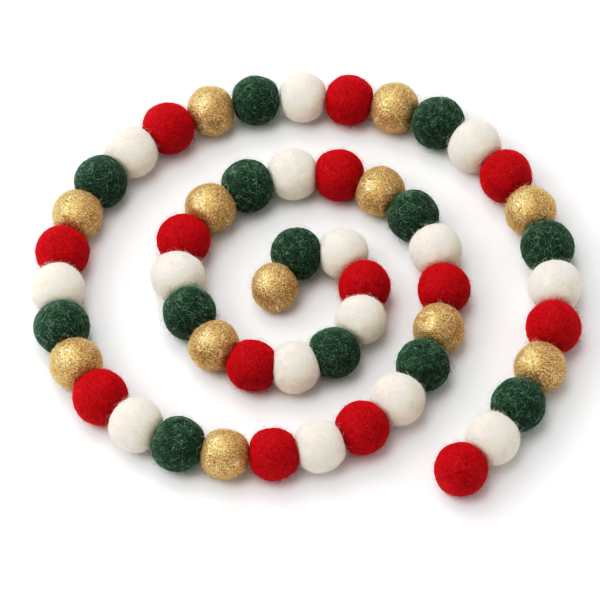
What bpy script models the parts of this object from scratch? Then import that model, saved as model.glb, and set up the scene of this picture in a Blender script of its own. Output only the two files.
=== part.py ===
"""Felt ball garland, laid on a table in an open curl of two and a half turns.

Fifty-four wool felt balls are strung close together on one thread. Each ball is bored through, pressed
flat where it meets its neighbours, and has a small flat spot where it rests on the table. The thread runs
straight through each ball, and its inner end hangs out of the last one.

Units are metres and +Z is up. The origin is on the table, under the middle of the garland's footprint.
"""

import math
from collections import namedtuple

import bmesh
import bpy
from mathutils import Matrix, Vector

# Ball sizes. Each ball is rolled by hand, so it is a little larger or smaller than these, as the curl says.
FELT_D = 0.025
GOLD_D = 0.0241
SINK = 0.05  # share of a ball's radius that its flat spot takes off its height
BALL_GAP = 0.0003  # between the pressed faces of two neighbours

# Thread, and the bore that it runs through.
THREAD_D = 0.0007
BORE_D = THREAD_D + 2 * BALL_GAP
THREAD_SETBACK = 0.001  # how far inside the outer ball the thread starts
END_FACE = 0.95  # distance of an end ball's free face from its centre, as a share of its radius

# Facets of a ball, counted round the thread and along it.
SEGMENTS = 10
BANDS = 7
FACET_SWELL = 1.03  # the corners stand out this much, so the facets between them average the true radius

# Balls from the outer end to the inner end. The run of four colours is cut short twice.
ROUND = ("red", "white", "green", "gold")
ORDER = 7 * ROUND + ROUND[:2] + 4 * ROUND + ROUND[:3] + ("white",) + ROUND

# The curl: where some of the balls lie, seen from its middle, and how wide they are beside the usual ball of
# their colour. The others follow on a smooth line between.
Lie = namedtuple("Lie", "ball bearing_deg reach size")
CURL = (
    Lie(1, -55.0, 0.1200, 0.985),
    Lie(3, -34.0, 0.1155, 1.000),
    Lie(5, -11.5, 0.1155, 1.015),
    Lie(9, 33.0, 0.1115, 1.015),
    Lie(11, 56.0, 0.1105, 1.035),
    Lie(13, 79.5, 0.1070, 0.975),
    Lie(17, 127.0, 0.1110, 0.998),
    Lie(21, 171.0, 0.1165, 1.022),
    Lie(25, 212.5, 0.1130, 1.038),
    Lie(29, 260.0, 0.0920, 0.985),
    Lie(31, 287.5, 0.0805, 1.000),
    Lie(33, 320.5, 0.0680, 0.993),
    Lie(37, 398.0, 0.0625, 0.992),
    Lie(39, 437.0, 0.0632, 0.990),
    Lie(41, 477.0, 0.0625, 1.003),
    Lie(43, 517.0, 0.0635, 1.012),
    Lie(45, 555.5, 0.0575, 1.012),
    Lie(47, 599.5, 0.0505, 0.973),
    Lie(49, 648.0, 0.0380, 0.970),
    Lie(50, 682.5, 0.0305, 0.955),
    Lie(51, 720.0, 0.0260, 0.975),
    Lie(52, 768.0, 0.0240, 0.960),
    Lie(53, 828.0, 0.0185, 0.990),
    Lie(54, 901.0, 0.0160, 0.930),
)

# Loose inner end of the thread: it leaves the last ball this way, then hangs down its side.
TAIL_BEARING_DEG = 277.0
Step = namedtuple("Step", "out side down")
TAIL = (
    Step(0.0008, 0.0000, 0.0001),
    Step(0.0013, 0.0002, 0.0006),
    Step(0.0015, 0.0006, 0.0017),
    Step(0.0014, 0.0011, 0.0031),
)

Colour = namedtuple("Colour", "rgb roughness metallic")
COLOURS = {
    "red": Colour((0.56, 0.005, 0.012), 0.95, 0.0),
    "white": Colour((0.80, 0.76, 0.68), 0.95, 0.0),
    "green": Colour((0.010, 0.065, 0.034), 0.95, 0.0),
    "gold": Colour((0.55, 0.34, 0.11), 0.55, 0.6),
    "thread": Colour((0.75, 0.68, 0.60), 0.85, 0.0),
}

# A face that a ball is cut off by: its outward direction, and how far it lies from the ball's centre.
Face = namedtuple("Face", "normal depth")


def clear_scene():
    for thing in list(bpy.data.objects):
        bpy.data.objects.remove(thing, do_unlink=True)


def new_collection(name):
    collection = bpy.data.collections.new(name)
    bpy.context.scene.collection.children.link(collection)
    return collection


def new_material(name, colour):
    material = bpy.data.materials.new(name)
    material.use_nodes = True
    shader = material.node_tree.nodes["Principled BSDF"]
    shader.inputs["Base Color"].default_value = (*colour.rgb, 1.0)
    shader.inputs["Roughness"].default_value = colour.roughness
    shader.inputs["Metallic"].default_value = colour.metallic
    material.diffuse_color = (*colour.rgb, 1.0)
    return material


def smooth_through(knots, values, at):
    """Value at a place on a smooth line through (knot, value) pairs, with its slope shared at each knot."""
    rises = [(b - a) / (t - s) for a, b, s, t in zip(values, values[1:], knots, knots[1:])]
    slopes = [rises[0]]
    for before, after, s, t, u in zip(rises, rises[1:], knots, knots[1:], knots[2:]):
        slopes.append((before * (u - t) + after * (t - s)) / (u - s))
    slopes.append(rises[-1])
    span = max(i for i in range(len(knots) - 1) if knots[i] <= at)
    width = knots[span + 1] - knots[span]
    s = (at - knots[span]) / width
    rising = s * s * (3 - 2 * s)
    value = (1 - rising) * values[span] + rising * values[span + 1]
    leaving = s * (1 - s) ** 2 * width * slopes[span]
    arriving = s * s * (s - 1) * width * slopes[span + 1]
    return value + leaving + arriving


def flat_direction(bearing_deg):
    angle = math.radians(bearing_deg)
    return Vector((math.cos(angle), math.sin(angle), 0.0))


def ball_radii():
    knots = [lie.ball for lie in CURL]
    sizes = [lie.size for lie in CURL]
    radii = []
    for number, colour in enumerate(ORDER, start=1):
        usual = GOLD_D if colour == "gold" else FELT_D
        radii.append(usual / 2 * smooth_through(knots, sizes, number))
    return radii


def ball_centres(radii):
    """Centres along the curl, each at the height that leaves the ball standing on its flat spot."""
    knots = [lie.ball for lie in CURL]
    bearings = [lie.bearing_deg for lie in CURL]
    reaches = [lie.reach for lie in CURL]
    centres = []
    for number, radius in enumerate(radii, start=1):
        direction = flat_direction(smooth_through(knots, bearings, number))
        centre = direction * smooth_through(knots, reaches, number)
        centre.z = radius * (1 - SINK)
        centres.append(centre)
    return centres


def end_faces(centres, radii):
    """Two faces for each ball, towards the outer end and towards the inner end."""
    faces = [[None, None] for _ in centres]
    for i in range(len(centres) - 1):
        span = centres[i + 1] - centres[i]
        share = radii[i] / (radii[i] + radii[i + 1])
        normal = span.normalized()
        faces[i][1] = Face(normal, span.length * share - BALL_GAP / 2)
        faces[i + 1][0] = Face(-normal, span.length * (1 - share) - BALL_GAP / 2)
    faces[0][0] = Face(-faces[0][1].normal, radii[0] * END_FACE)
    faces[-1][1] = Face(flat_direction(TAIL_BEARING_DEG), radii[-1] * END_FACE)
    return faces


def on_rim(co, face, radius):
    """Where the ball's surface meets a face, at the same turn about the poles as co."""
    pole = Vector((math.copysign(1.0, face.normal.x), 0.0, 0.0))
    sideways = pole.rotation_difference(face.normal) @ Vector((0.0, co.y, co.z)).normalized()
    return face.normal * face.depth + sideways * math.sqrt(radius**2 - face.depth**2)


def on_bore(co, face, entry, axis):
    """Where the bore's wall meets a face, on the same side of the bore's axis as co."""
    sideways = (co - axis * co.dot(axis)).normalized()
    wall = entry + sideways * (BORE_D / 2)
    along = (face.depth - wall.dot(face.normal)) / axis.dot(face.normal)
    return wall + axis * along


def fold_facets_outward(bm):
    """Split each facet in two along the diagonal that bulges out, so that no facet is dented."""
    bmesh.ops.triangulate(bm, faces=bm.faces)
    bmesh.ops.recalc_face_normals(bm, faces=bm.faces)
    for edge in [edge for edge in bm.edges if edge.is_manifold and not edge.is_convex]:
        bmesh.utils.edge_rotate(edge)


def shape_ball(bm, radius, faces):
    """Press a UV sphere, whose poles lie on the X axis, flat against two faces, and bore it through."""
    entry = faces[0].normal * faces[0].depth
    axis = (faces[1].normal * faces[1].depth - entry).normalized()
    rings = [[] for _ in range(BANDS + 1)]
    for vert in bm.verts:
        rings[round(math.acos(max(-1.0, min(1.0, -vert.co.x / radius))) * BANDS / math.pi)].append(vert)
    bmesh.ops.delete(bm, geom=rings[0] + rings[BANDS], context="VERTS")

    walls = []
    for face, rim, shoulder, belly in (
        (faces[0], rings[1], rings[2], rings[3]),
        (faces[1], rings[BANDS - 1], rings[BANDS - 2], rings[BANDS - 3]),
    ):
        edges = [edge for edge in bm.edges if edge.is_boundary and edge.verts[0] in rim]
        inner = bmesh.ops.extrude_edge_only(bm, edges=edges)["geom"]
        walls += [item for item in inner if isinstance(item, bmesh.types.BMEdge)]
        for vert in (item for item in inner if isinstance(item, bmesh.types.BMVert)):
            vert.co = on_bore(vert.co, face, entry, axis)
        for vert in rim:
            vert.co = on_rim(vert.co, face, radius)
        for vert in shoulder:
            ends = [edge.other_vert(vert) for edge in vert.link_edges]
            between = sum((end.co.normalized() for end in ends if end in rim or end in belly), Vector())
            vert.co = between.normalized() * radius
    for vert in (vert for ring in rings[2:BANDS - 1] for vert in ring):
        vert.co *= FACET_SWELL
    floor = -radius * (1 - SINK)
    for vert in bm.verts:
        vert.co.z = max(vert.co.z, floor)
    fold_facets_outward(bm)
    bmesh.ops.bridge_loops(bm, edges=walls)
    bmesh.ops.recalc_face_normals(bm, faces=bm.faces)


def make_ball(name, centre, radius, faces, material, collection, parent):
    heading = faces[1].normal - faces[0].normal
    turn = math.atan2(heading.y, heading.x)
    into_ball = Matrix.Rotation(-turn, 3, "Z")
    own_faces = [Face(into_ball @ face.normal, face.depth) for face in faces]

    bm = bmesh.new()
    poles_on_x = Matrix.Rotation(math.pi / 2, 4, "Y")
    bmesh.ops.create_uvsphere(bm, u_segments=SEGMENTS, v_segments=BANDS, radius=radius, matrix=poles_on_x)
    shape_ball(bm, radius, own_faces)
    mesh = bpy.data.meshes.new(name)
    bm.to_mesh(mesh)
    bm.free()
    mesh.materials.append(material)
    mesh.shade_smooth()
    mesh.set_sharp_from_angle(angle=math.radians(50))

    ball = bpy.data.objects.new(name, mesh)
    ball.location = centre
    ball.rotation_euler.z = turn
    ball.parent = parent
    collection.objects.link(ball)
    return ball


def thread_route(centres, radii, faces):
    """Corners of the thread: its start, the middle of each gap between balls, and its loose end."""
    outer = faces[0][0]
    route = [centres[0] + outer.normal * (outer.depth - THREAD_SETBACK)]
    for centre, (_, inward) in zip(centres[:-1], faces):
        route.append(centre + inward.normal * (inward.depth + BALL_GAP / 2))
    leaving = faces[-1][1]
    hole = centres[-1] + leaving.normal * leaving.depth
    sideways = Vector((-leaving.normal.y, leaving.normal.x, 0.0))
    for step in TAIL:
        route.append(hole + leaving.normal * step.out + sideways * step.side - Vector((0, 0, step.down)))
    return route


def make_thread(route, material, collection, parent):
    curve = bpy.data.curves.new("thread", "CURVE")
    curve.dimensions = "3D"
    curve.bevel_depth = THREAD_D / 2
    curve.bevel_resolution = 2
    curve.use_fill_caps = True
    spline = curve.splines.new("POLY")
    spline.points.add(len(route) - 1)
    for point, place in zip(spline.points, route):
        point.co = (*place, 1.0)
    spline.use_smooth = True
    curve.materials.append(material)
    thread = bpy.data.objects.new("thread", curve)
    thread.parent = parent
    collection.objects.link(thread)
    return thread


def footprint_middle(balls):
    corners = [
        Matrix.LocRotScale(ball.location, ball.rotation_euler, None) @ vert.co
        for ball in balls
        for vert in ball.data.vertices
    ]
    xs = [corner.x for corner in corners]
    ys = [corner.y for corner in corners]
    return Vector(((min(xs) + max(xs)) / 2, (min(ys) + max(ys)) / 2, 0.0))


def main():
    clear_scene()
    collection = new_collection("felt_ball_garland")
    materials = {name: new_material(name, colour) for name, colour in COLOURS.items()}
    curl = bpy.data.objects.new("curl_middle", None)
    collection.objects.link(curl)

    radii = ball_radii()
    centres = ball_centres(radii)
    faces = end_faces(centres, radii)
    balls = []
    for number, colour in enumerate(ORDER, start=1):
        i = number - 1
        name = f"ball_{number:02d}_{colour}"
        ball = make_ball(name, centres[i], radii[i], faces[i], materials[colour], collection, curl)
        balls.append(ball)
    make_thread(thread_route(centres, radii, faces), materials["thread"], collection, curl)
    curl.location = -footprint_middle(balls)


main()
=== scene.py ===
"""How the felt ball garland looks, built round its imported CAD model.

Each ball is a felt core, pressed flat against its neighbours and the table, with loose fibres of several
shades lying over it and short hairs standing off it. The balls sit on one twisted thread, whose inner end
hangs out of the last ball. Units are metres and +Z is up.
"""

import math
from collections import namedtuple

import bmesh
import bpy
import numpy as np
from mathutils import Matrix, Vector


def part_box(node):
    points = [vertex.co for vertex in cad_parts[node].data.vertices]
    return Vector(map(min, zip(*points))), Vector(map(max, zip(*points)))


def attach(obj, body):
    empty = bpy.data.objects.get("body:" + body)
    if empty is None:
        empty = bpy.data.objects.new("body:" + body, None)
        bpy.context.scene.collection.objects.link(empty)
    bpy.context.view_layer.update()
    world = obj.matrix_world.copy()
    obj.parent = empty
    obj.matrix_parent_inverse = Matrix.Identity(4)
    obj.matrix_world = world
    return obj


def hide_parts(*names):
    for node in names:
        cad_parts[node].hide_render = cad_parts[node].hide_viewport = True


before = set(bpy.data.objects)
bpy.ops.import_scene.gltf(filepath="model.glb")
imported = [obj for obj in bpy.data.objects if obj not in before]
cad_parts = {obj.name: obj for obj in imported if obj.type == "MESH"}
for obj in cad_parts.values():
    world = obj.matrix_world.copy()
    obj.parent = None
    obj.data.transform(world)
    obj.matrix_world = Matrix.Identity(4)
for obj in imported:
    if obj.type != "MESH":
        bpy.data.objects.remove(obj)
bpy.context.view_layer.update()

UP = np.array([0.0, 0.0, 1.0])

# How the CAD model makes its balls and its thread.
SINK = 0.05  # share of a ball's radius that its flat spot takes off its height
END_FACE = 0.95  # distance of an end ball's free face from its centre, as a share of its radius
CAD_BALL_HEIGHT = 1.905  # from the flat spot to the facet on top, in radii
THREAD_D = 0.0007
THREAD_SETBACK = 0.001  # how far inside the outer ball the thread starts
TAIL_BEARING_DEG = 277.0
Step = namedtuple("Step", "out side down")
TAIL = (
    Step(0.0008, 0.0000, 0.0001),
    Step(0.0013, 0.0002, 0.0006),
    Step(0.0015, 0.0006, 0.0017),
    Step(0.0014, 0.0011, 0.0031),
)

# Felt cores.
CORE_DEPTH = 0.00005  # a core's surface lies this far inside the ball's radius, under its fibres
CORE_DETAIL = 5  # subdivisions of the icosphere that a core starts from
NEIGHBOUR_SOFTNESS = 0.0011  # how round the edge of a face is where a neighbour presses on it
NEIGHBOUR_OVER = 0.0006  # such a face bulges this far past the middle of the gap, into the soft felt beyond
FREE_SOFTNESS = 0.0004  # the same roundness under a ball and at the garland's two ends
TABLE_ROOM = 0.0001  # left between a core and the table, for the fibres
LUMP_WAVES = 14
LUMP_HEIGHT = 0.00016
OVAL = 0.013  # how far a ball's three widths stray from round, as a share of its radius

# Camera, on the middle of the curl from the front and well above it.
CAMERA_TARGET = Vector((-0.0030, -0.0047, 0.0))
CAMERA_ELEVATION = math.radians(58.0)
CAMERA_DISTANCE = 1.875
CAMERA_LENS = 240.4

Face = namedtuple("Face", "normal depth meets")  # meets is True where a neighbour lies against it
Press = namedtuple("Press", "normal depth softness")
Ball = namedtuple("Ball", "number colour node centre radius faces")


# ---------------------------------------------------------------- reading the frame


def node_points(node):
    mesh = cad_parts[node].data
    points = np.empty(len(mesh.vertices) * 3)
    mesh.vertices.foreach_get("co", points)
    return points.reshape(-1, 3)


def flat_direction(bearing_deg):
    angle = math.radians(bearing_deg)
    return np.array([math.cos(angle), math.sin(angle), 0.0])


def read_balls():
    """The balls from the outer end to the inner end, each with the faces that end it along the thread."""
    names = sorted(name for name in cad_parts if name.startswith("ball_"))
    centres = []
    radii = []
    for name in names:
        points = node_points(name)
        low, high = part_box(name)
        radius = (high.z - low.z) / CAD_BALL_HEIGHT
        spot = points[points[:, 2] < low.z + 1e-5].mean(axis=0)
        centres.append(np.array([spot[0], spot[1], low.z + radius * (1 - SINK)]))
        radii.append(radius)

    faces = [[None, None] for _ in names]
    for i in range(len(names) - 1):
        span = centres[i + 1] - centres[i]
        length = np.linalg.norm(span)
        share = radii[i] / (radii[i] + radii[i + 1])
        faces[i][1] = Face(span / length, length * share, True)
        faces[i + 1][0] = Face(-span / length, length * (1 - share), True)
    faces[0][0] = Face(-faces[0][1].normal, radii[0] * END_FACE, False)
    faces[-1][1] = Face(flat_direction(TAIL_BEARING_DEG), radii[-1] * END_FACE, False)

    balls = []
    for i, name in enumerate(names):
        _, number, colour = name.split("_")
        balls.append(Ball(int(number), colour, name, centres[i], radii[i], faces[i]))
    return balls


# ---------------------------------------------------------------- shaders


def new_material(name):
    """A material with its node tree and its Principled shader."""
    material = bpy.data.materials.new(name)
    material.use_nodes = True
    tree = material.node_tree
    return material, tree, tree.nodes["Principled BSDF"]


def add_node(tree, kind, inputs=None, **settings):
    """A shader node with its settings, and its inputs linked where a socket is given, or else set."""
    node = tree.nodes.new(kind)
    for name, value in settings.items():
        setattr(node, name, value)
    for name, value in (inputs or {}).items():
        if isinstance(value, bpy.types.NodeSocket):
            tree.links.new(value, node.inputs[name])
        else:
            node.inputs[name].default_value = value
    return node


def math_node(tree, operation, first, second=0.0, clamp=False):
    node = add_node(tree, "ShaderNodeMath", {0: first, 1: second}, operation=operation, use_clamp=clamp)
    return node.outputs[0]


def map_range(tree, value, from_range, to_range):
    """A value carried from one range to another, and held at its ends."""
    inputs = {
        "Value": value,
        "From Min": from_range[0],
        "From Max": from_range[1],
        "To Min": to_range[0],
        "To Max": to_range[1],
    }
    return add_node(tree, "ShaderNodeMapRange", inputs).outputs["Result"]


def noise_field(tree, where, per_metre, detail=2.0, roughness=0.5, warp=0.0):
    inputs = {
        "Vector": where,
        "Scale": per_metre,
        "Detail": detail,
        "Roughness": roughness,
        "Distortion": warp,
    }
    return add_node(tree, "ShaderNodeTexNoise", inputs).outputs["Fac"]


def curled_lines(tree, where, per_metre, width, warp):
    """Thin curling lines, where a smooth noise field crosses its middle value."""
    field = noise_field(tree, where, per_metre, detail=1.0, warp=warp)
    off_middle = math_node(tree, "ABSOLUTE", math_node(tree, "SUBTRACT", field, 0.5))
    return math_node(tree, "SUBTRACT", 1.0, math_node(tree, "DIVIDE", off_middle, width, clamp=True))


def as_colour(value):
    """A colour given as three numbers gets its opacity, and a socket stays as it is."""
    return value if isinstance(value, bpy.types.NodeSocket) else (*value, 1.0)


def blend_colours(tree, share, first, second):
    """The colour that is a share of the way from the first to the second."""
    inputs = {0: share, 6: as_colour(first), 7: as_colour(second)}
    return add_node(tree, "ShaderNodeMix", inputs, data_type="RGBA").outputs[2]


def vary_roughness(tree, shader, field, middle):
    """Let the roughness swing a little about its middle value with a noise field."""
    level = map_range(tree, field, (0.3, 0.7), (middle + 0.1, middle - 0.1))
    tree.links.new(level, shader.inputs["Roughness"])


# How a colour of felt looks. Colours are linear: the first and darkest is painted shade for the felt down
# between its fibres, body is most of it, and pale is its raised fibres. pits and line_share say how much of
# it takes the painted shade and how much is pale, lines is how many fibres cross a metre, and glow is how
# much of the light goes into it and comes out beside where it fell.
Felt = namedtuple(
    "Felt",
    "deep body pale pits lines line_share bump sheen sheen_tint roughness specular gloss_tint glow",
)
FELTS = {
    "red": Felt(
        deep=(0.13, 0.001, 0.003),
        body=(0.325, 0.0018, 0.006),
        pale=(0.55, 0.020, 0.038),
        pits=0.80,
        lines=560.0,
        line_share=0.60,
        bump=0.65,
        sheen=0.60,
        sheen_tint=(1.0, 0.010, 0.025),
        roughness=0.60,
        specular=0.35,
        gloss_tint=(1.0, 0.55, 0.70),
        glow=0.0,
    ),
    "white": Felt(
        deep=(0.55, 0.48, 0.38),
        body=(0.715, 0.665, 0.575),
        pale=(0.77, 0.73, 0.65),
        pits=0.42,
        lines=520.0,
        line_share=0.28,
        bump=0.36,
        sheen=0.55,
        sheen_tint=(1.0, 0.97, 0.90),
        roughness=0.90,
        specular=0.10,
        gloss_tint=(1.0, 1.0, 1.0),
        glow=0.6,
    ),
    "green": Felt(
        deep=(0.002, 0.005, 0.003),
        body=(0.011, 0.030, 0.016),
        pale=(0.072, 0.132, 0.087),
        pits=1.00,
        lines=640.0,
        line_share=0.90,
        bump=0.80,
        sheen=0.28,
        sheen_tint=(0.24, 0.42, 0.30),
        roughness=0.60,
        specular=0.30,
        gloss_tint=(0.85, 1.00, 0.90),
        glow=0.0,
    ),
}
SHEEN_ROUGHNESS = 0.6


def make_felt(colour):
    """Matted wool: a blotchy body with painted shade in the pits between curling fibres, raised by the same
    patterns.
    """
    look = FELTS[colour]
    material, tree, shader = new_material(f"{colour}_felt")
    where = add_node(tree, "ShaderNodeTexCoord").outputs["Object"]
    blotches = noise_field(tree, where, 260.0, detail=2.0)
    pits = noise_field(tree, where, 900.0, detail=3.0, roughness=0.65)
    coarse = curled_lines(tree, where, look.lines, 0.07, warp=0.5)
    fine = curled_lines(tree, where, look.lines * 1.7, 0.10, warp=0.8)
    lines = math_node(tree, "MAXIMUM", coarse, math_node(tree, "MULTIPLY", fine, 0.7))

    # Painted shade: where the pits noise is low, and the bump sinks, the felt darkens towards its shade
    # colour.
    sunk = map_range(tree, pits, (0.34, 0.56), (look.pits, 0.0))
    body = blend_colours(tree, sunk, look.body, look.deep)
    raised = math_node(tree, "MULTIPLY", lines, map_range(tree, blotches, (0.35, 0.65), (0.35, 1.0)))
    share = math_node(tree, "MULTIPLY", raised, look.line_share)
    tree.links.new(blend_colours(tree, share, body, look.pale), shader.inputs["Base Color"])

    rough_height = math_node(tree, "MULTIPLY", pits, 0.9)
    height = math_node(tree, "ADD", rough_height, math_node(tree, "MULTIPLY", lines, 0.5))
    bump = add_node(tree, "ShaderNodeBump", {"Height": height, "Strength": look.bump, "Distance": 0.0004})
    tree.links.new(bump.outputs["Normal"], shader.inputs["Normal"])
    vary_roughness(tree, shader, pits, look.roughness)
    shader.inputs["Specular IOR Level"].default_value = look.specular
    shader.inputs["Specular Tint"].default_value = (*look.gloss_tint, 1.0)
    shader.inputs["Sheen Weight"].default_value = look.sheen
    shader.inputs["Sheen Roughness"].default_value = SHEEN_ROUGHNESS
    shader.inputs["Sheen Tint"].default_value = (*look.sheen_tint, 1.0)
    shader.inputs["Subsurface Weight"].default_value = look.glow
    shader.inputs["Subsurface Radius"].default_value = (1.0, 0.85, 0.70)
    shader.inputs["Subsurface Scale"].default_value = 0.003
    return material


def set_ramp(ramp, stops):
    """Give a colour ramp its stops, each a place from 0 to 1 and a linear colour."""
    elements = ramp.color_ramp.elements
    while len(elements) < len(stops):
        elements.new(1.0)
    for element, (place, colour) in zip(elements, stops):
        element.position = place
        element.color = (*colour, 1.0)


FLAKES = 3600.0  # flakes of tinsel to the metre
FLAKE_TILT = 0.5
DARK_GOLD = (0.17, 0.080, 0.015)
GOLD = (0.41, 0.245, 0.067)
PALE_GOLD = (0.92, 0.78, 0.54)


def vector_node(tree, operation, inputs):
    return add_node(tree, "ShaderNodeVectorMath", inputs, operation=operation).outputs[0]


def tinsel_flakes(tree, where):
    """A random colour for each flake of tinsel, its cells pushed out of line by a slow noise."""
    noise = add_node(tree, "ShaderNodeTexNoise", {"Vector": where, "Scale": 420.0, "Detail": 1.0})
    drift = vector_node(tree, "MULTIPLY", {0: noise.outputs["Color"], 1: (0.0016, 0.0016, 0.0016)})
    moved = vector_node(tree, "ADD", {0: where, 1: drift})
    cells = add_node(tree, "ShaderNodeTexVoronoi", {"Vector": moved, "Scale": FLAKES}, feature="F1")
    return cells.outputs["Color"]


def tilt_flakes(tree, shader, flakes):
    """Lean the surface's normal a little, another way on each flake."""
    centred = vector_node(tree, "SUBTRACT", {0: flakes, 1: (0.5, 0.5, 0.5)})
    tilt = vector_node(tree, "SCALE", {0: centred, "Scale": FLAKE_TILT})
    normal = add_node(tree, "ShaderNodeNewGeometry").outputs["Normal"]
    tilted = vector_node(tree, "ADD", {0: normal, 1: tilt})
    tree.links.new(vector_node(tree, "NORMALIZE", {0: tilted}), shader.inputs["Normal"])


def make_gold_felt():
    """Brown-gold felt rolled in metallic tinsel: small flakes, each of its own brightness and tilt."""
    material, tree, shader = new_material("gold_felt")
    where = add_node(tree, "ShaderNodeTexCoord").outputs["Object"]
    flakes = tinsel_flakes(tree, where)
    tone = add_node(tree, "ShaderNodeSeparateColor", {"Color": flakes}).outputs[0]
    patches = noise_field(tree, where, 500.0, detail=3.0, roughness=0.6)
    flake_share = math_node(tree, "MULTIPLY", tone, 0.8)
    level = math_node(tree, "ADD", flake_share, math_node(tree, "MULTIPLY", patches, 0.2))
    ramp = add_node(tree, "ShaderNodeValToRGB", {"Fac": level})
    set_ramp(ramp, ((0.10, DARK_GOLD), (0.50, GOLD), (0.90, PALE_GOLD)))
    tree.links.new(ramp.outputs["Color"], shader.inputs["Base Color"])

    tilt_flakes(tree, shader, flakes)
    shader.inputs["Metallic"].default_value = 0.55
    vary_roughness(tree, shader, patches, 0.36)
    shader.inputs["Specular IOR Level"].default_value = 0.3
    shader.inputs["Specular Tint"].default_value = (1.0, 0.85, 0.55, 1.0)
    shader.inputs["Sheen Weight"].default_value = 0.40
    shader.inputs["Sheen Roughness"].default_value = SHEEN_ROUGHNESS
    shader.inputs["Sheen Tint"].default_value = (1.0, 0.75, 0.40, 1.0)
    return material


# Loose fibres, from the darkest through the usual to the palest, and how they shine.
Fibre = namedtuple("Fibre", "dark usual pale roughness metallic sheen sheen_tint")
FIBRES = {
    "red": Fibre(
        dark=(0.20, 0.002, 0.005),
        usual=(0.34, 0.003, 0.010),
        pale=(0.76, 0.105, 0.130),
        roughness=0.8,
        metallic=0.0,
        sheen=0.5,
        sheen_tint=(1.0, 0.010, 0.025),
    ),
    "white": Fibre(
        dark=(0.46, 0.40, 0.31),
        usual=(0.700, 0.650, 0.560),
        pale=(0.90, 0.86, 0.80),
        roughness=0.8,
        metallic=0.0,
        sheen=0.6,
        sheen_tint=(1.0, 0.97, 0.90),
    ),
    "green": Fibre(
        dark=(0.003, 0.010, 0.005),
        usual=(0.038, 0.083, 0.052),
        pale=(0.450, 0.630, 0.490),
        roughness=0.8,
        metallic=0.0,
        sheen=0.28,
        sheen_tint=(0.24, 0.42, 0.30),
    ),
    "gold": Fibre(
        dark=(0.22, 0.11, 0.028),
        usual=(0.56, 0.36, 0.13),
        pale=(1.00, 0.95, 0.78),
        roughness=0.38,
        metallic=0.55,
        sheen=0.4,
        sheen_tint=(1.0, 0.75, 0.40),
    ),
}


def make_fibre(colour):
    """Loose fibres, each of its own shade, a little patchy along its length."""
    look = FIBRES[colour]
    material, tree, shader = new_material(f"{colour}_fibre")
    where = add_node(tree, "ShaderNodeTexCoord").outputs["Object"]
    shade = add_node(tree, "ShaderNodeAttribute", attribute_name="shade").outputs["Fac"]
    patches = noise_field(tree, where, 700.0)
    swing = math_node(tree, "MULTIPLY", math_node(tree, "SUBTRACT", patches, 0.5), 0.4)
    level = math_node(tree, "ADD", shade, swing)
    ramp = add_node(tree, "ShaderNodeValToRGB", {"Fac": level})
    set_ramp(ramp, ((0.0, look.dark), (0.55, look.usual), (1.0, look.pale)))
    tree.links.new(ramp.outputs["Color"], shader.inputs["Base Color"])
    vary_roughness(tree, shader, patches, look.roughness)
    bump = add_node(tree, "ShaderNodeBump", {"Height": patches, "Strength": 0.2, "Distance": 0.0001})
    tree.links.new(bump.outputs["Normal"], shader.inputs["Normal"])
    shader.inputs["Metallic"].default_value = look.metallic
    shader.inputs["Specular IOR Level"].default_value = 0.05
    shader.inputs["Sheen Weight"].default_value = look.sheen
    shader.inputs["Sheen Roughness"].default_value = SHEEN_ROUGHNESS
    shader.inputs["Sheen Tint"].default_value = (*look.sheen_tint, 1.0)
    return material


# ---------------------------------------------------------------- the surface of a ball


def unit(vectors):
    return vectors / np.linalg.norm(vectors, axis=-1, keepdims=True)


class Surface:
    """The pressed surface of one ball. Directions are unit vectors from the ball's centre."""

    def __init__(self, ball, rng):
        self.ball = ball
        self.waves = unit(rng.normal(size=(LUMP_WAVES, 3))) * rng.uniform(2.0, 9.0, (LUMP_WAVES, 1))
        self.phases = rng.uniform(0, 2 * math.pi, LUMP_WAVES)
        self.oval = rng.uniform(-OVAL, OVAL, 3) * ball.radius
        self.table = Press(-UP, ball.radius * (1 - SINK) - TABLE_ROOM, FREE_SOFTNESS)
        self.presses = [self.table]
        for face in ball.faces:
            if face.meets:
                self.presses.append(Press(face.normal, face.depth + NEIGHBOUR_OVER, NEIGHBOUR_SOFTNESS))
            else:
                self.presses.append(Press(face.normal, face.depth, FREE_SOFTNESS))

    def lumps(self, directions):
        swings = np.sin(directions @ self.waves.T + self.phases) / np.linalg.norm(self.waves, axis=1)
        return swings.sum(axis=-1) * 2.0

    def place(self, directions, lift):
        """Points on the surface, or lifted off it along its normal, relative to the ball's centre."""
        radius = self.ball.radius - CORE_DEPTH + LUMP_HEIGHT * self.lumps(directions)
        radius = radius + directions**2 @ self.oval
        points = directions * radius[..., None]
        normals = directions
        for press in self.presses:
            beyond = (points @ press.normal - press.depth) / press.softness
            points = points - (press.softness * np.logaddexp(0.0, beyond))[..., None] * press.normal
            share = (1.0 / (1.0 + np.exp(-np.clip(beyond, -30, 30))))[..., None]
            normals = normals * (1 - share) + press.normal * share
        return points + unit(normals) * np.broadcast_to(lift, radius.shape)[..., None]

    def in_the_open(self, points, reach_over, off_table):
        """True for points no further than reach_over past a neighbour's face, and this far from the table."""
        clear = points @ self.table.normal < self.table.depth - off_table
        for face in self.ball.faces:
            clear &= points @ face.normal < face.depth + reach_over
        return clear


# ---------------------------------------------------------------- pieces


def new_piece(name, mesh):
    piece = bpy.data.objects.new(name, mesh)
    bpy.context.scene.collection.objects.link(piece)
    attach(piece, "root")
    return piece


def round_template():
    """An icosphere's mesh, which every core starts as a copy of."""
    mesh = bpy.data.meshes.new("round_template")
    bm = bmesh.new()
    bmesh.ops.create_icosphere(bm, subdivisions=CORE_DETAIL, radius=1.0)
    bm.to_mesh(mesh)
    bm.free()
    mesh.shade_smooth()
    return mesh


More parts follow.
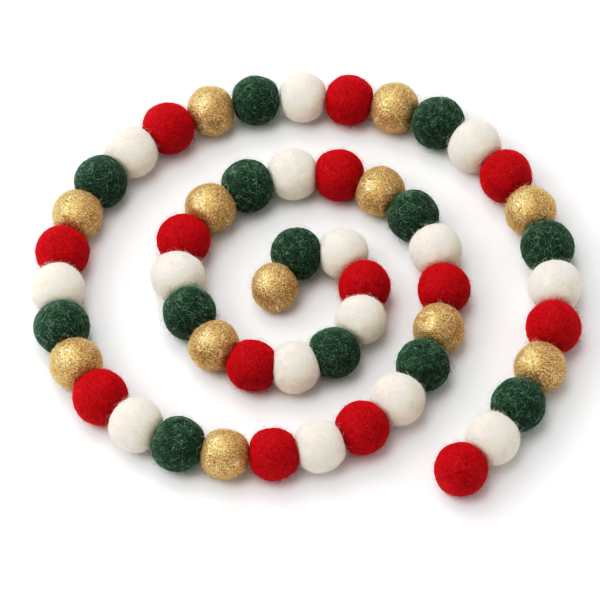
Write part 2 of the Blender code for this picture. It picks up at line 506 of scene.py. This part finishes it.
def make_core(ball, surface, template, material):
    mesh = template.copy()
    mesh.name = f"felt_{ball.number:02d}_{ball.colour}"
    directions = np.empty(len(mesh.vertices) * 3)
    mesh.vertices.foreach_get("co", directions)
    directions = unit(directions.reshape(-1, 3))
    points = surface.place(directions, 0.0) + ball.centre
    mesh.vertices.foreach_set("co", points.ravel())
    mesh.materials.append(material)
    mesh.update()
    core = new_piece(mesh.name, mesh)
    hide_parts(ball.node)


# Loose fibres on one ball, in metres. Strands lie on the felt, and curl is in turns per metre. Hairs stand
# off it: so many arched ones, short ones, and ones in a fringe round each neighbour.
Strands = namedtuple("Strands", "count steps length width height curl")
Hairs = namedtuple("Hairs", "arched short fringe length width rise")
STRANDS = {
    "red": Strands(220, 4, 0.0030, 0.00015, 0.00008, 60.0),
    "white": Strands(180, 4, 0.0034, 0.00015, 0.00006, 50.0),
    "green": Strands(740, 3, 0.0034, 0.00012, 0.00009, 60.0),
    "gold": Strands(900, 2, 0.0008, 0.00013, 0.00009, 60.0),
}
HAIRS = {
    "red": Hairs(600, 1150, 90, 0.0032, 0.00009, 0.0016),
    "white": Hairs(560, 1150, 100, 0.0032, 0.00009, 0.0015),
    "green": Hairs(430, 800, 90, 0.0034, 0.00009, 0.0017),
    "gold": Hairs(400, 900, 60, 0.0026, 0.00010, 0.0018),
}
SHORT = 0.5  # how long and how high the short hairs are beside the arched ones
HAIR_CURL = 75.0
HAIR_SHADE = 0.45  # the darkest hair, since light comes through a hair that stands alone
HAIR_OVER = 0.0020  # how far a hair may reach over a neighbour
FRINGE = 0.0030  # the hairs round a contact start this near its plane
EDGE_ROOM = 0.0001  # fibres start at least this far outside the edge of a pressed face


def wander(rng, count, steps, length, curl):
    """Curling paths over the unit sphere, and the direction sideways at each of their points."""
    here = unit(rng.normal(size=(count, 3)))
    heading = unit(np.cross(here, rng.normal(size=(count, 3))))
    stride = (length * rng.uniform(0.6, 1.4, count) / steps)[:, None]
    turn_a_step = 2 * math.pi * stride * curl
    bend = rng.choice([-1.0, 1.0], (count, 1)) * rng.uniform(0.2, 1.3, (count, 1)) * turn_a_step
    sway = rng.normal(0.0, 0.7, (count, 1)) * turn_a_step
    beat = rng.uniform(0.4, 1.2, (count, 1))
    start = rng.uniform(0, 2 * math.pi, (count, 1))
    paths = [here]
    sides = [np.cross(here, heading)]
    for step in range(steps):
        ahead = here * np.cos(stride) + heading * np.sin(stride)
        heading = heading * np.cos(stride) - here * np.sin(stride)
        here = ahead
        turn = bend + sway * np.sin(start + beat * step)
        heading = heading * np.cos(turn) + np.cross(here, heading) * np.sin(turn)
        paths.append(here)
        sides.append(np.cross(here, heading))
    return np.stack(paths, axis=1), np.stack(sides, axis=1)


def draw_open(ball, surface, rng, count, steps, length, curl, reach_over, off_table, near_contact=False):
    """Paths that start on the open surface of a ball and stay on it, as wander makes them."""
    tries = count * (16 if near_contact else 2)
    paths, sides = wander(rng, tries, steps, length / ball.radius, curl * ball.radius)
    points = surface.place(paths, 0.0)
    stays = surface.in_the_open(points, reach_over, off_table).all(axis=1)
    starts = surface.in_the_open(points[:, 0], -EDGE_ROOM, off_table)
    if near_contact:
        starts &= ~surface.in_the_open(points[:, 0], -FRINGE, off_table)
    kept = np.flatnonzero(stays & starts)[:count]
    return paths[kept], sides[kept]


def lay_strands(ball, surface, rng, kind):
    """Raised fibres lying on the felt, three points wide, with both edges sunk in it. Returns their points,
    their faces and the number of points in each."""
    paths, sides = draw_open(ball, surface, rng, kind.count, kind.steps, kind.length, kind.curl, 0.0, 0.0)
    count = len(paths)
    along = np.linspace(0.0, 1.0, kind.steps + 1)
    taper = np.sqrt(np.sin(math.pi * np.clip(along, 0.03, 0.97)))
    width = (kind.width * rng.uniform(0.6, 1.4, (count, 1)) * taper / 2 / ball.radius)[..., None]
    height = kind.height * rng.uniform(0.5, 1.5, (count, 1)) * (taper * 1.3 - 0.4)
    sunk = np.full(height.shape, -0.3 * kind.height)
    left = surface.place(unit(paths - sides * width), sunk)
    crest = surface.place(paths, height)
    right = surface.place(unit(paths + sides * width), sunk)
    points = np.stack([left, crest, right], axis=2)
    first = np.arange(count * (kind.steps + 1)).reshape(count, -1)[:, :-1].ravel() * 3
    faces = np.concatenate([
        np.stack([first, first + 1, first + 4, first + 3], axis=1),
        np.stack([first + 1, first + 2, first + 5, first + 4], axis=1),
    ])
    return points.reshape(-1, 3), faces.tolist(), 3 * (kind.steps + 1)


def raise_hairs(ball, surface, rng, kind, wanted, steps, size=1.0, near_contact=False):
    """Pointed hairs that arch off the felt into the air, folded lengthwise as lay_strands folds its fibres.
    Returns what lay_strands does."""
    length = kind.length * size
    paths, sides = draw_open(
        ball, surface, rng, wanted, steps, length, HAIR_CURL, HAIR_OVER, 0.0004, near_contact
    )
    along = np.linspace(0.0, 1.0, steps + 1)
    height = kind.rise * size * (0.1 + 1.4 * rng.uniform(0.0, 1.0, (len(paths), 1)) ** 1.5)
    arch = rng.uniform(0.9, 1.7, (len(paths), 1)) * math.pi / 2
    middle = surface.place(paths, height * np.sin(arch * along) - 0.00005)
    clear = surface.in_the_open(middle, HAIR_OVER, 0.0).all(axis=1)
    paths, sides, middle = paths[clear], sides[clear], middle[clear]
    count = len(paths)
    radius = (kind.width / 2 * (1.0 - 0.6 * along))[None, :, None]
    rows = []
    for corner in (-1, 0, 1):
        angle = 2 * math.pi * corner / 3
        rows.append(middle + radius * (paths * math.cos(angle) + sides * math.sin(angle)))
    rows = np.stack(rows, axis=2)[:, :-1].reshape(count, 3 * steps, 3)
    points = np.concatenate([rows, middle[:, -1:]], axis=1)

    per_hair = points.shape[1]
    first = np.arange(count) * per_hair
    faces = []
    for corner in (0, 1):
        for row in range(0, per_hair - 4, 3):
            low = first + row + corner
            faces += np.stack([low, low + 1, low + 4, low + 3], axis=1).tolist()
        last = first + per_hair - 4 + corner
        faces += np.stack([last, last + 1, first + per_hair - 1], axis=1).tolist()
    return points.reshape(-1, 3), faces, per_hair


def make_fibres(ball, surface, rng, material):
    hairs = HAIRS[ball.colour]
    layers = [lay_strands(ball, surface, rng, STRANDS[ball.colour])]
    layers.append(raise_hairs(ball, surface, rng, hairs, hairs.arched, 3))
    layers.append(raise_hairs(ball, surface, rng, hairs, hairs.short, 1, size=SHORT))
    layers.append(raise_hairs(ball, surface, rng, hairs, hairs.fringe, 3, near_contact=True))
    faces = []
    shades = []
    before = 0
    for (points, own_faces, size), darkest in zip(layers, (0.0, HAIR_SHADE, HAIR_SHADE, HAIR_SHADE)):
        faces += [[corner + before for corner in face] for face in own_faces]
        shades.append(np.repeat(rng.uniform(darkest, 1.0, len(points) // size), size))
        before += len(points)

    name = f"fibre_{ball.number:02d}_{ball.colour}"
    mesh = bpy.data.meshes.new(name)
    points = np.concatenate([layer[0] for layer in layers]) + ball.centre
    mesh.from_pydata(points.tolist(), [], faces)
    mesh.attributes.new("shade", "FLOAT", "POINT").data.foreach_set("value", np.concatenate(shades))
    mesh.materials.append(material)
    mesh.shade_smooth()
    mesh.update()
    new_piece(name, mesh)


# ---------------------------------------------------------------- thread


PLIES = 3
PLY_D = 0.00034
PLY_PITCH = 0.0017  # length of thread that a ply goes once round in
PLY_SIDES = 6
TAIL_POINTS = 36
FRAY_FROM = 0.72  # share of the tail after which its plies come apart
FRAY_SPREAD = 0.00022
FRAY_HAIRS = 12


def hidden_route(balls):
    """Corners of the thread up to the inside of the last ball: its start and the middle of each gap."""
    outer = balls[0].faces[0]
    route = [balls[0].centre + outer.normal * (outer.depth - THREAD_SETBACK)]
    for ball in balls[:-1]:
        inward = ball.faces[1]
        route.append(ball.centre + inward.normal * inward.depth)
    route.append(balls[-1].centre)
    return np.array(route)


def tail_route(last):
    """The loose end of the thread in fine steps, on a smooth curve from inside the last ball."""
    leaving = last.faces[1]
    hole = last.centre + leaving.normal * leaving.depth
    sideways = np.cross(UP, leaving.normal)
    corners = [last.centre, hole - leaving.normal * 0.001]
    for step in TAIL:
        corners.append(hole + leaving.normal * step.out + sideways * step.side - UP * step.down)
    corners.append(2 * corners[-1] - corners[-2])
    corners = np.array(corners)
    route = []
    for at in np.linspace(1.0, len(corners) - 2.0, TAIL_POINTS):
        first = min(int(at), len(corners) - 3)
        s = at - first
        before, start, end, after = corners[first - 1:first + 3]
        leave = (end - before) / 2 * (s - 2 * s**2 + s**3)
        arrive = (after - start) / 2 * (s**3 - s**2)
        route.append(start * (1 - 3 * s**2 + 2 * s**3) + end * (3 * s**2 - 2 * s**3) + leave + arrive)
    return np.array(route)


def directions_across(route, reference):
    """Two directions across a route at each of its points, the first as near as it can be to reference."""
    along = unit(np.gradient(route, axis=0))
    first = unit(reference - (along @ reference)[:, None] * along)
    return first, np.cross(along, first)


def tube(route, radii, reference, sides=PLY_SIDES):
    """A closed tube along a route: its points and its faces."""
    first, second = directions_across(route, reference)
    angles = np.arange(sides) * 2 * math.pi / sides
    ring = np.cos(angles)[None, :, None] * first[:, None] + np.sin(angles)[None, :, None] * second[:, None]
    points = route[:, None] + ring * np.broadcast_to(radii, len(route))[:, None, None]
    faces = []
    for row in range(len(route) - 1):
        for side in range(sides):
            low = row * sides + side
            beside = row * sides + (side + 1) % sides
            faces.append([low, beside, beside + sides, low + sides])
    faces.append(list(range(sides))[::-1])
    faces.append(list(range((len(route) - 1) * sides, len(route) * sides)))
    return points.reshape(-1, 3), faces


def twisted_plies(route, reference):
    """The plies of a twisted thread along a route, coming apart and thinning towards its end."""
    length = np.concatenate([[0.0], np.cumsum(np.linalg.norm(np.diff(route, axis=0), axis=1))])
    first, second = directions_across(route, reference)
    loose = np.clip((length / length[-1] - FRAY_FROM) / (1 - FRAY_FROM), 0.0, 1.0)
    spread = PLY_D / 2 * 1.1 + FRAY_SPREAD * loose**1.5
    plies = []
    for ply in range(PLIES):
        turn = 2 * math.pi * (length / PLY_PITCH + ply / PLIES)
        offset = np.cos(turn)[:, None] * first + np.sin(turn)[:, None] * second
        plies.append(tube(route + offset * spread[:, None], PLY_D / 2 * (1 - 0.6 * loose), reference))
    return plies


def frayed_hairs(route, rng, reference):
    """Fine hairs that stand out of the thread's cut end."""
    heading = unit(route[-1] - route[-4])
    hairs = []
    for _ in range(FRAY_HAIRS):
        start = route[-rng.integers(2, 9)] + rng.normal(0, 0.0001, 3)
        lean = unit(heading + rng.normal(0, 0.45, 3))
        reach = rng.uniform(0.0003, 0.0009)
        tip = start + (lean + 0.2 * rng.normal(size=3)) * reach
        path = np.array([start, start + lean * reach * 0.5, tip])
        hairs.append(tube(path, np.array([0.00004, 0.00003, 0.00001]), reference, sides=3))
    return hairs


def make_thread_material():
    material, tree, shader = new_material("thread")
    where = add_node(tree, "ShaderNodeTexCoord").outputs["Object"]
    grain = noise_field(tree, where, 2500.0, detail=2.0)
    colour = blend_colours(tree, grain, (0.70, 0.52, 0.46), (0.93, 0.82, 0.76))
    tree.links.new(colour, shader.inputs["Base Color"])
    bump = add_node(tree, "ShaderNodeBump", {"Height": grain, "Strength": 0.4, "Distance": 0.0001})
    tree.links.new(bump.outputs["Normal"], shader.inputs["Normal"])
    vary_roughness(tree, shader, grain, 0.85)
    shader.inputs["Sheen Weight"].default_value = 0.3
    return material


def make_thread(balls):
    """One piece for the whole thread: a plain run inside the balls, and twisted plies where it shows."""
    route = tail_route(balls[-1])
    sideways = np.cross(UP, balls[-1].faces[1].normal)
    parts = [tube(hidden_route(balls), THREAD_D / 2, UP)]
    parts += twisted_plies(route, sideways)
    parts += frayed_hairs(route, np.random.default_rng(len(balls) + 1), sideways)
    points = []
    faces = []
    before = 0
    for own_points, own_faces in parts:
        faces += [[corner + before for corner in face] for face in own_faces]
        points.append(own_points)
        before += len(own_points)
    mesh = bpy.data.meshes.new("yarn")
    mesh.from_pydata(np.concatenate(points).tolist(), [], faces)
    mesh.materials.append(make_thread_material())
    mesh.shade_smooth()
    mesh.update()
    yarn = bpy.data.objects.new("yarn", mesh)
    bpy.context.scene.collection.objects.link(yarn)
    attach(yarn, "root")
    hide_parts("thread")


# ---------------------------------------------------------------- stage


# Painted light: the floor glows faintly of itself, which lifts the shadows on it.
PAINTED_FLOOR_GLOW = 0.015


def make_floor():
    """A plain white floor with a faint painted glow of its own, though it is no lamp, so that shadows on it
    stay pale.
    """
    material, tree, shader = new_material("pale_floor")
    where = add_node(tree, "ShaderNodeTexCoord").outputs["Object"]
    faint = noise_field(tree, where, 4.0, detail=3.0)
    colour = blend_colours(tree, faint, (0.82, 0.82, 0.82), (0.84, 0.84, 0.84))
    tree.links.new(colour, shader.inputs["Base Color"])
    shader.inputs["Roughness"].default_value = 1.0
    shader.inputs["Specular IOR Level"].default_value = 0.0
    shader.inputs["Emission Color"].default_value = (1.0, 1.0, 1.0, 1.0)
    shader.inputs["Emission Strength"].default_value = PAINTED_FLOOR_GLOW
    bpy.ops.mesh.primitive_plane_add(size=12.0)
    floor = bpy.context.object
    floor.name = "floor"
    floor.data.materials.append(material)


def aim(thing, place, target):
    thing.location = place
    thing.rotation_euler = (Vector(target) - Vector(place)).to_track_quat("-Z", "Y").to_euler()


KEY_DIRECTION = Vector((-0.46, 0.15, 0.875))
KEY_DISTANCE = 1.6
KEY_SIZE = 2.2
KEY_POWER = 35.0
SKY_LOW = 0.95  # how bright the studio is at the height of the floor
SKY_HIGH = 0.40  # and straight above


def make_lights():
    world = bpy.data.worlds.new("studio")
    bpy.context.scene.world = world
    world.use_nodes = True
    tree = world.node_tree
    direction = add_node(tree, "ShaderNodeTexCoord").outputs["Generated"]
    height = add_node(tree, "ShaderNodeSeparateXYZ", {"Vector": direction}).outputs["Z"]
    sky = add_node(tree, "ShaderNodeMapRange", {"Value": height, "To Min": SKY_LOW, "To Max": SKY_HIGH})
    tree.links.new(sky.outputs["Result"], tree.nodes["Background"].inputs["Strength"])
    tree.nodes["Background"].inputs["Color"].default_value = (1.0, 1.0, 1.0, 1.0)
    key = bpy.data.lights.new("key", "AREA")
    key.shape = "DISK"
    key.size = KEY_SIZE
    key.energy = KEY_POWER
    lamp = bpy.data.objects.new("key", key)
    bpy.context.scene.collection.objects.link(lamp)
    aim(lamp, KEY_DIRECTION.normalized() * KEY_DISTANCE, (0.0, 0.0, 0.0))


def make_camera():
    camera = bpy.data.objects.new("camera", bpy.data.cameras.new("camera"))
    camera.data.lens = CAMERA_LENS
    camera.data.clip_start = 0.05
    camera.data.clip_end = 50.0
    back = Vector((0.0, -math.cos(CAMERA_ELEVATION), math.sin(CAMERA_ELEVATION)))
    bpy.context.scene.collection.objects.link(camera)
    aim(camera, CAMERA_TARGET + back * CAMERA_DISTANCE, CAMERA_TARGET)
    bpy.context.scene.camera = camera


# The picture's tone curve, in linear light: a photograph's deeper shade, with the same whites.
Tone = namedtuple("Tone", "light shown")
TONES = (
    Tone(0.06, 0.018),
    Tone(0.15, 0.090),
    Tone(0.30, 0.255),
    Tone(0.40, 0.40),
    Tone(0.50, 0.54),
    Tone(0.65, 0.71),
    Tone(0.80, 0.81),
)


def set_tones():
    view = bpy.context.scene.view_settings
    view.view_transform = "Standard"
    view.use_curve_mapping = True
    for tone in TONES:
        view.curve_mapping.curves[3].points.new(tone.light, tone.shown)
    view.curve_mapping.update()


# ---------------------------------------------------------------- the whole scene


def main():
    make_camera()
    set_tones()
    balls = read_balls()
    make_thread(balls)
    cores = {colour: make_felt(colour) for colour in FELTS}
    cores["gold"] = make_gold_felt()
    fibres = {colour: make_fibre(colour) for colour in FIBRES}
    template = round_template()
    for ball in balls:
        rng = np.random.default_rng(ball.number)
        surface = Surface(ball, rng)
        make_core(ball, surface, template, cores[ball.colour])
        make_fibres(ball, surface, rng, fibres[ball.colour])
    bpy.data.meshes.remove(template)
    make_floor()
    make_lights()


main()
